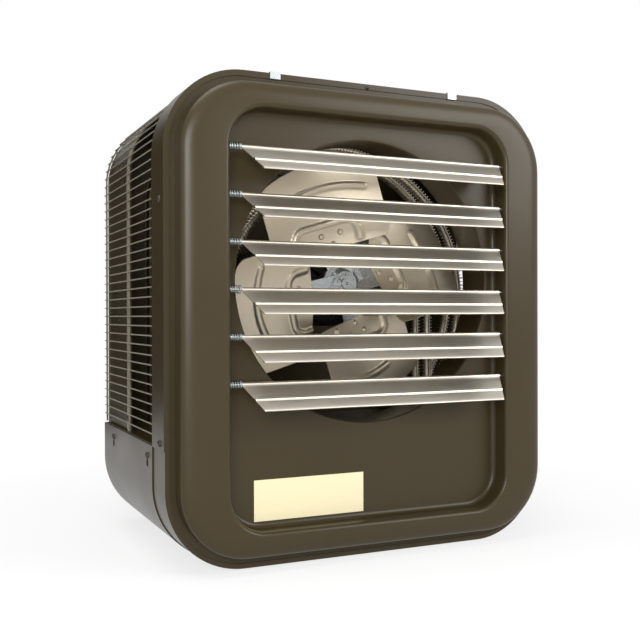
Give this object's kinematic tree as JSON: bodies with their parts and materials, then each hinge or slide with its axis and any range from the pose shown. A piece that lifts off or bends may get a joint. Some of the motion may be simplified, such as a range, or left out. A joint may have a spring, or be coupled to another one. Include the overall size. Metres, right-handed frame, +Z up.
{
  "type": "electric unit heater",
  "caption": "Fan-forced electric unit heater: rounded sheet-metal cabinet, recessed front with round outlet and tilting louvres, propeller fan, finned elements and wire guard.",
  "frame": {"origin": "centre of the flat underside of the bottom pan, midway between the sides and midway between the collar's front edge and the back", "axes": "+X to the right seen from the front, +Y towards the back, +Z up; the louvres face -Y"},
  "size_m": [0.4878, 0.3583, 0.5453],
  "materials": {
    "enamel": "semi-gloss baked enamel",
    "zinc": "bright zinc plate",
    "bright_aluminium": "satin mill finish",
    "fan_aluminium": "dull mill finish",
    "sheath_steel": "dull plated steel",
    "black_steel": "satin black paint",
    "cream": "matt cream coating",
    "ceramic": "glazed ceramic",
    "copper": "dull copper alloy",
    "phenolic": "moulded phenolic"
  },
  "bodies": {
    "cabinet": {"front_panel": "enamel", "collar": "enamel", "bottom_pan": "enamel", "rear_panel": "enamel", "divider_plate": "enamel", "name_plate": "cream", "collar_screws": "zinc", "top_screw": "zinc", "pan_screws": "zinc", "rear_screws": "zinc", "hanger_nuts": "zinc", "louvre_rods": "zinc", "louvre_springs": "zinc", "motor_bolts": "zinc", "bracket_screws": "zinc", "element_bushings": "zinc", "motor_shell": "black_steel", "motor_front_bell": "black_steel", "motor_rear_bell": "black_steel", "motor_bracket": "black_steel", "wire_guard": "sheath_steel", "motor_stator": "sheath_steel", "element_outer_front": "sheath_steel", "element_outer_rear": "sheath_steel", "element_inner_front": "sheath_steel", "element_inner_rear": "sheath_steel", "fins_outer_front": "sheath_steel", "fins_outer_rear": "sheath_steel", "fins_inner_front": "sheath_steel", "fins_inner_rear": "sheath_steel", "element_studs": "ceramic", "fan_relay": "ceramic", "thermal_cutout": "phenolic", "contactor": "phenolic", "terminal_block": "phenolic", "motor_bearings": "copper", "transformer": "copper", "ground_lug": "copper"},
    "fan": {"fan_spider": "zinc", "fan_blade_1": "fan_aluminium", "fan_blade_2": "fan_aluminium", "fan_blade_3": "fan_aluminium", "fan_blade_4": "fan_aluminium", "fan_rivets": "zinc", "motor_shaft": "zinc", "motor_rotor": "black_steel"},
    "louvre_1": {"louvre_1": "bright_aluminium"},
    "louvre_2": {"louvre_2": "bright_aluminium"},
    "louvre_3": {"louvre_3": "bright_aluminium"},
    "louvre_4": {"louvre_4": "bright_aluminium"},
    "louvre_5": {"louvre_5": "bright_aluminium"},
    "louvre_6": {"louvre_6": "bright_aluminium"}
  },
  "joints": [
    {"name": "fan_spin", "type": "hinge", "parent": "cabinet", "child": "fan", "pos_m": [0, -0.094, 0.3155], "axis": [0, -1, 0], "continuous": true},
    {"name": "louvre_1_tilt", "type": "hinge", "parent": "cabinet", "child": "louvre_1", "pos_m": [0, -0.172, 0.4569], "axis": [1, 0, 0], "range_deg": [-55, 45]},
    {"name": "louvre_2_tilt", "type": "hinge", "parent": "cabinet", "child": "louvre_2", "pos_m": [0, -0.172, 0.4061], "axis": [1, 0, 0], "range_deg": [-55, 45]},
    {"name": "louvre_3_tilt", "type": "hinge", "parent": "cabinet", "child": "louvre_3", "pos_m": [0, -0.172, 0.3553], "axis": [1, 0, 0], "range_deg": [-55, 45]},
    {"name": "louvre_4_tilt", "type": "hinge", "parent": "cabinet", "child": "louvre_4", "pos_m": [0, -0.172, 0.3045], "axis": [1, 0, 0], "range_deg": [-55, 45]},
    {"name": "louvre_5_tilt", "type": "hinge", "parent": "cabinet", "child": "louvre_5", "pos_m": [0, -0.172, 0.2537], "axis": [1, 0, 0], "range_deg": [-55, 45]},
    {"name": "louvre_6_tilt", "type": "hinge", "parent": "cabinet", "child": "louvre_6", "pos_m": [0, -0.172, 0.2029], "axis": [1, 0, 0], "range_deg": [-55, 45]}
  ]
}
